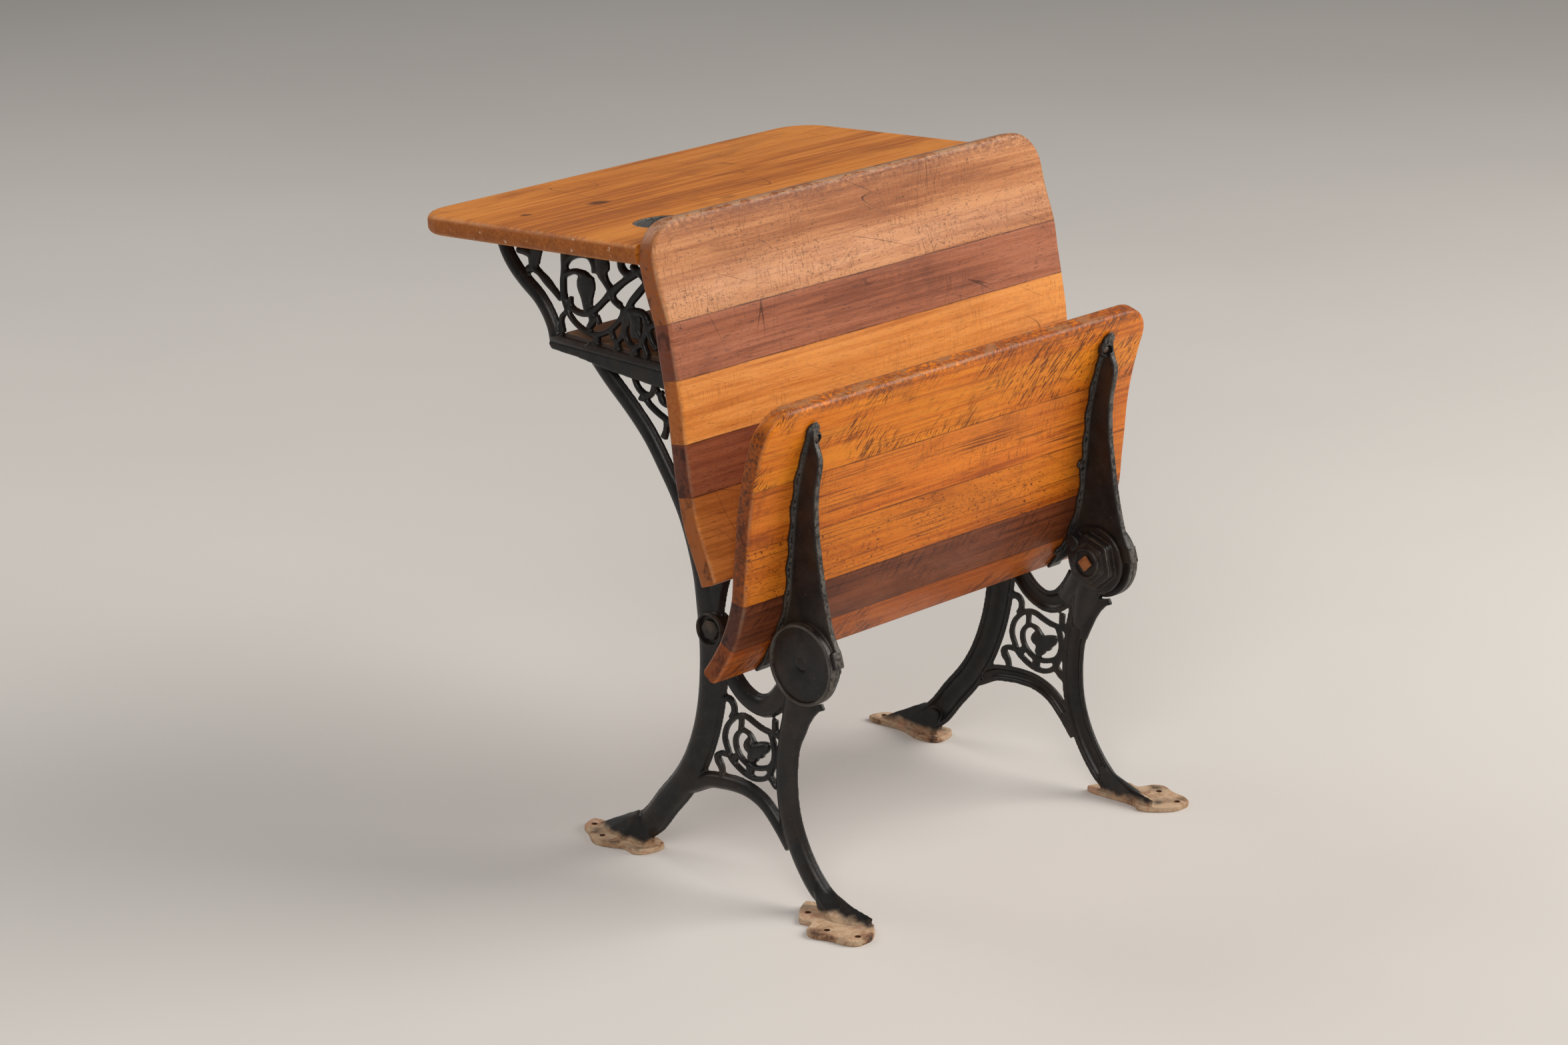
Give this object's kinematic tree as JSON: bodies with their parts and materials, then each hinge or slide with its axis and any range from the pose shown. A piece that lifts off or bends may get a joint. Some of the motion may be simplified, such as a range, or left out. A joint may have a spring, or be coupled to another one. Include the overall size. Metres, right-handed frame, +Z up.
{
  "type": "school desk",
  "caption": "School desk with scrolled cast-iron standards, sloping wooden top with inkwell, book shelf, and a striped wooden seat in front that folds up against its bent back panel.",
  "frame": {"origin": "on the floor under the middle of the desk's overall box", "axes": "+Z up; the folding seat faces -Y and the desk top is towards +Y; +X to the right of someone who looks at the seat from the front"},
  "size_m": [0.533, 0.5568, 0.64],
  "materials": {
    "cast_iron_black": "worn black paint over cast iron",
    "wood_light": "worn honey varnish",
    "wood_dark": "worn brown varnish",
    "wood_desk": "worn amber varnish",
    "wood_shelf": "dry and dusty",
    "pewter_grey": "dull, stained",
    "steel_worn": "brown with rust"
  },
  "bodies": {
    "frame": {"standard_right": "cast_iron_black", "standard_left": "cast_iron_black", "back_strip_1": "wood_light", "back_strip_2": "wood_dark", "back_strip_3": "wood_light", "back_strip_4": "wood_dark", "back_strip_5": "wood_light", "desk_top": "wood_desk", "book_shelf": "wood_shelf", "inkwell_cup": "pewter_grey", "hinge_bolt_right": "steel_worn", "hinge_bolt_left": "steel_worn", "hinge_collar_right": "cast_iron_black", "hinge_collar_left": "cast_iron_black", "hinge_washer_right": "steel_worn", "hinge_washer_left": "steel_worn", "hinge_nut_right": "steel_worn", "hinge_nut_left": "steel_worn", "frame_bolt_right": "steel_worn", "frame_bolt_left": "steel_worn", "frame_nut_right": "steel_worn", "frame_nut_left": "steel_worn", "back_screw_right_1": "steel_worn", "back_screw_left_1": "steel_worn", "back_screw_right_2": "steel_worn", "back_screw_left_2": "steel_worn", "back_screw_right_3": "steel_worn", "back_screw_left_3": "steel_worn", "desk_screw_right_1": "steel_worn", "desk_screw_left_1": "steel_worn", "desk_screw_right_2": "steel_worn", "desk_screw_left_2": "steel_worn", "desk_screw_right_3": "steel_worn", "desk_screw_left_3": "steel_worn", "shelf_screw_right_1": "steel_worn", "shelf_screw_left_1": "steel_worn", "shelf_screw_right_2": "steel_worn", "shelf_screw_left_2": "steel_worn"},
    "seat": {"seat_arm_right": "cast_iron_black", "seat_arm_left": "cast_iron_black", "seat_strip_1": "wood_light", "seat_strip_2": "wood_light", "seat_strip_3": "wood_light", "seat_strip_4": "wood_dark", "seat_strip_5": "wood_light", "arm_tip_screw_right": "steel_worn", "arm_tip_screw_left": "steel_worn", "arm_screw_right_1": "steel_worn", "arm_screw_left_1": "steel_worn", "arm_screw_right_2": "steel_worn", "arm_screw_left_2": "steel_worn"}
  },
  "joints": [
    {"name": "seat_hinge", "type": "hinge", "parent": "frame", "child": "seat", "pos_m": [0, -0.18386, 0.24299], "axis": [1, 0, 0], "range_deg": [0, 72]}
  ]
}
